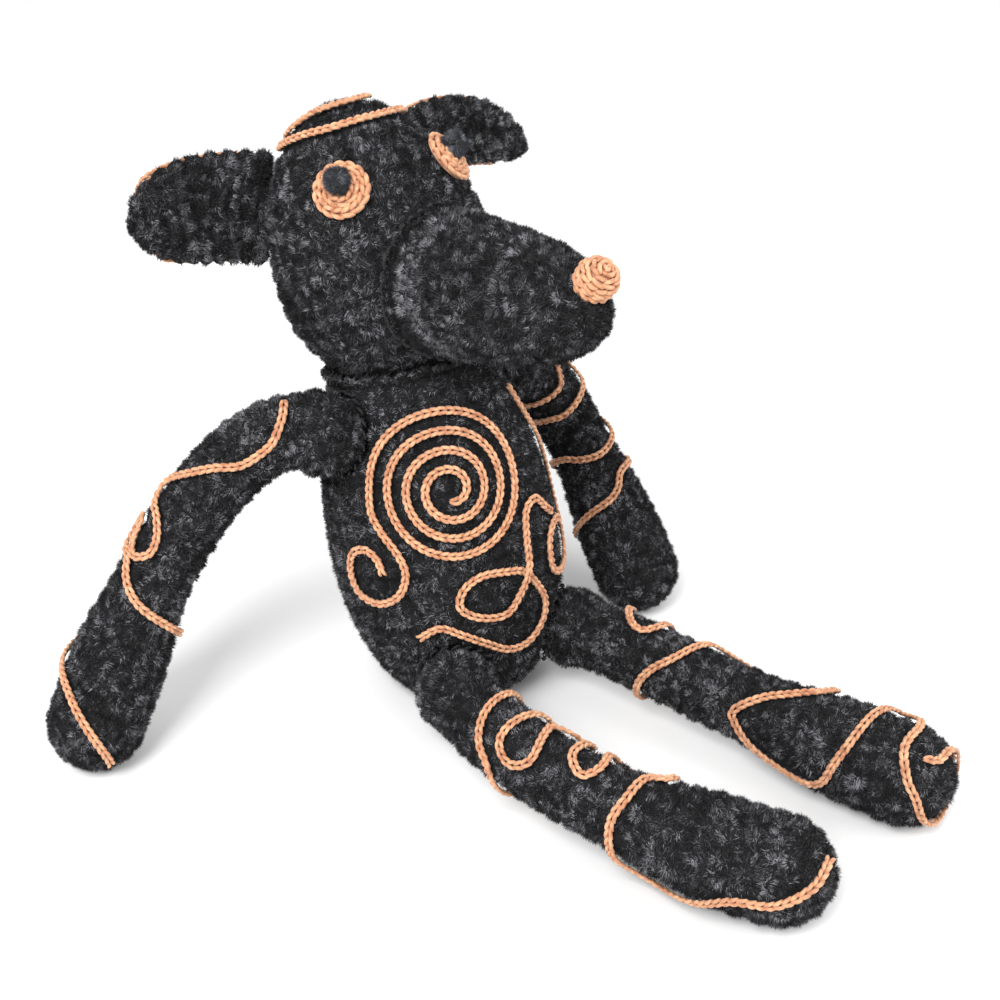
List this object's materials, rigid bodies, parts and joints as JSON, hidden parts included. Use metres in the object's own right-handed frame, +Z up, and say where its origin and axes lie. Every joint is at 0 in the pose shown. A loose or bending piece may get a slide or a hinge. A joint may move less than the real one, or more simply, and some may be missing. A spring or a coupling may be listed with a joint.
{
  "type": "crocheted dog soft toy",
  "caption": "Seated crocheted dog soft toy with a long snout, floppy ears, fluffy dark yarn and light crochet-chain swirls; head, ears and limbs move at their seams.",
  "frame": {"origin": "point on the flat sitting face, at floor level, where the leaning centre line of the body meets the floor", "axes": "+Z up; the dog faces -Y with its legs stretched that way; +X is the dog's left side; the floor is Z = 0"},
  "size_m": [0.2359, 0.246, 0.1995],
  "materials": {
    "charcoal_chenille": "fluffy chenille yarn, dark charcoal with paler fibres, no shine",
    "caramel_cotton": "smooth mercerised cotton crochet yarn, caramel, slight sheen",
    "sewing_yarn": "plain spun yarn, near black, matte",
    "fibre_stuffing": "loose polyester fibre filling, off-white, matte"
  },
  "bodies": {
    "torso": {"torso_skin": "charcoal_chenille", "torso_stuffing": "fibre_stuffing", "belly_spiral_chain": "caramel_cotton", "belly_scroll_chain": "caramel_cotton", "side_chain": "caramel_cotton"},
    "neck": {"neck_seam": "sewing_yarn"},
    "head": {"head_skin": "charcoal_chenille", "head_stuffing": "fibre_stuffing", "head_chain": "caramel_cotton", "snout_skin": "charcoal_chenille", "snout_stuffing": "fibre_stuffing", "snout_seam": "sewing_yarn", "nose_cover": "caramel_cotton", "nose_stuffing": "fibre_stuffing", "right_eye_disc": "caramel_cotton", "left_eye_disc": "caramel_cotton", "right_pupil": "charcoal_chenille", "left_pupil": "charcoal_chenille", "right_ear_seam": "sewing_yarn", "left_ear_seam": "sewing_yarn"},
    "right_ear": {"right_ear": "charcoal_chenille", "right_ear_chain": "caramel_cotton"},
    "left_ear": {"left_ear": "charcoal_chenille", "left_ear_chain": "caramel_cotton"},
    "right_shoulder": {"right_shoulder_seam": "sewing_yarn"},
    "right_arm": {"right_arm_skin": "charcoal_chenille", "right_arm_stuffing": "fibre_stuffing", "right_arm_chain": "caramel_cotton"},
    "left_shoulder": {"left_shoulder_seam": "sewing_yarn"},
    "left_arm": {"left_arm_skin": "charcoal_chenille", "left_arm_stuffing": "fibre_stuffing", "left_arm_chain": "caramel_cotton"},
    "right_hip": {"right_hip_seam": "sewing_yarn"},
    "right_leg": {"right_leg_skin": "charcoal_chenille", "right_leg_stuffing": "fibre_stuffing", "right_leg_chain": "caramel_cotton"},
    "left_hip": {"left_hip_seam": "sewing_yarn"},
    "left_leg": {"left_leg_skin": "charcoal_chenille", "left_leg_stuffing": "fibre_stuffing", "left_leg_chain": "caramel_cotton"}
  },
  "joints": [
    {"name": "head_turn", "type": "hinge", "parent": "torso", "child": "neck", "pos_m": [0, 0.04124, 0.1438], "axis": [0, 0.2756, 0.9613], "range_deg": [-45, 45]},
    {"name": "head_nod", "type": "hinge", "parent": "neck", "child": "head", "pos_m": [0, 0.04124, 0.1438], "axis": [-1, 0, 0], "range_deg": [0, 22]},
    {"name": "right_ear_flap", "type": "hinge", "parent": "head", "child": "right_ear", "pos_m": [-0.02376, 0.0769, 0.16146], "axis": [0.2724, 0.1762, 0.9459], "range_deg": [-50, 40]},
    {"name": "left_ear_flap", "type": "hinge", "parent": "head", "child": "left_ear", "pos_m": [0.02963, 0.06868, 0.16862], "axis": [0.3879, -0.2572, -0.8851], "range_deg": [-60, 40]},
    {"name": "right_shoulder_swing", "type": "hinge", "parent": "torso", "child": "right_shoulder", "pos_m": [-0.03887, 0.02927, 0.10209], "axis": [-0.9539, 0.0827, 0.2885], "range_deg": [-50, 95]},
    {"name": "right_arm_raise", "type": "hinge", "parent": "right_shoulder", "child": "right_arm", "pos_m": [-0.03887, 0.02927, 0.10209], "axis": [0, 1, 0], "range_deg": [-10, 45]},
    {"name": "left_shoulder_swing", "type": "hinge", "parent": "torso", "child": "left_shoulder", "pos_m": [0.03887, 0.02927, 0.10209], "axis": [-0.9539, -0.0827, -0.2885], "range_deg": [-50, 40]},
    {"name": "left_arm_raise", "type": "hinge", "parent": "left_shoulder", "child": "left_arm", "pos_m": [0.03887, 0.02927, 0.10209], "axis": [0, -1, 0], "range_deg": [-10, 45]},
    {"name": "right_hip_swing", "type": "hinge", "parent": "torso", "child": "right_hip", "pos_m": [-0.02692, -0.02279, 0.02166], "axis": [-1, 0, 0], "range_deg": [-65, 45]},
    {"name": "right_leg_spread", "type": "hinge", "parent": "right_hip", "child": "right_leg", "pos_m": [-0.02692, -0.02279, 0.02166], "axis": [0, 0, -1], "range_deg": [-5, 40]},
    {"name": "left_hip_swing", "type": "hinge", "parent": "torso", "child": "left_hip", "pos_m": [0.02692, -0.02279, 0.02166], "axis": [-1, 0, 0], "range_deg": [-65, 45]},
    {"name": "left_leg_spread", "type": "hinge", "parent": "left_hip", "child": "left_leg", "pos_m": [0.02692, -0.02279, 0.02166], "axis": [0, 0, 1], "range_deg": [-5, 40]}
  ]
}
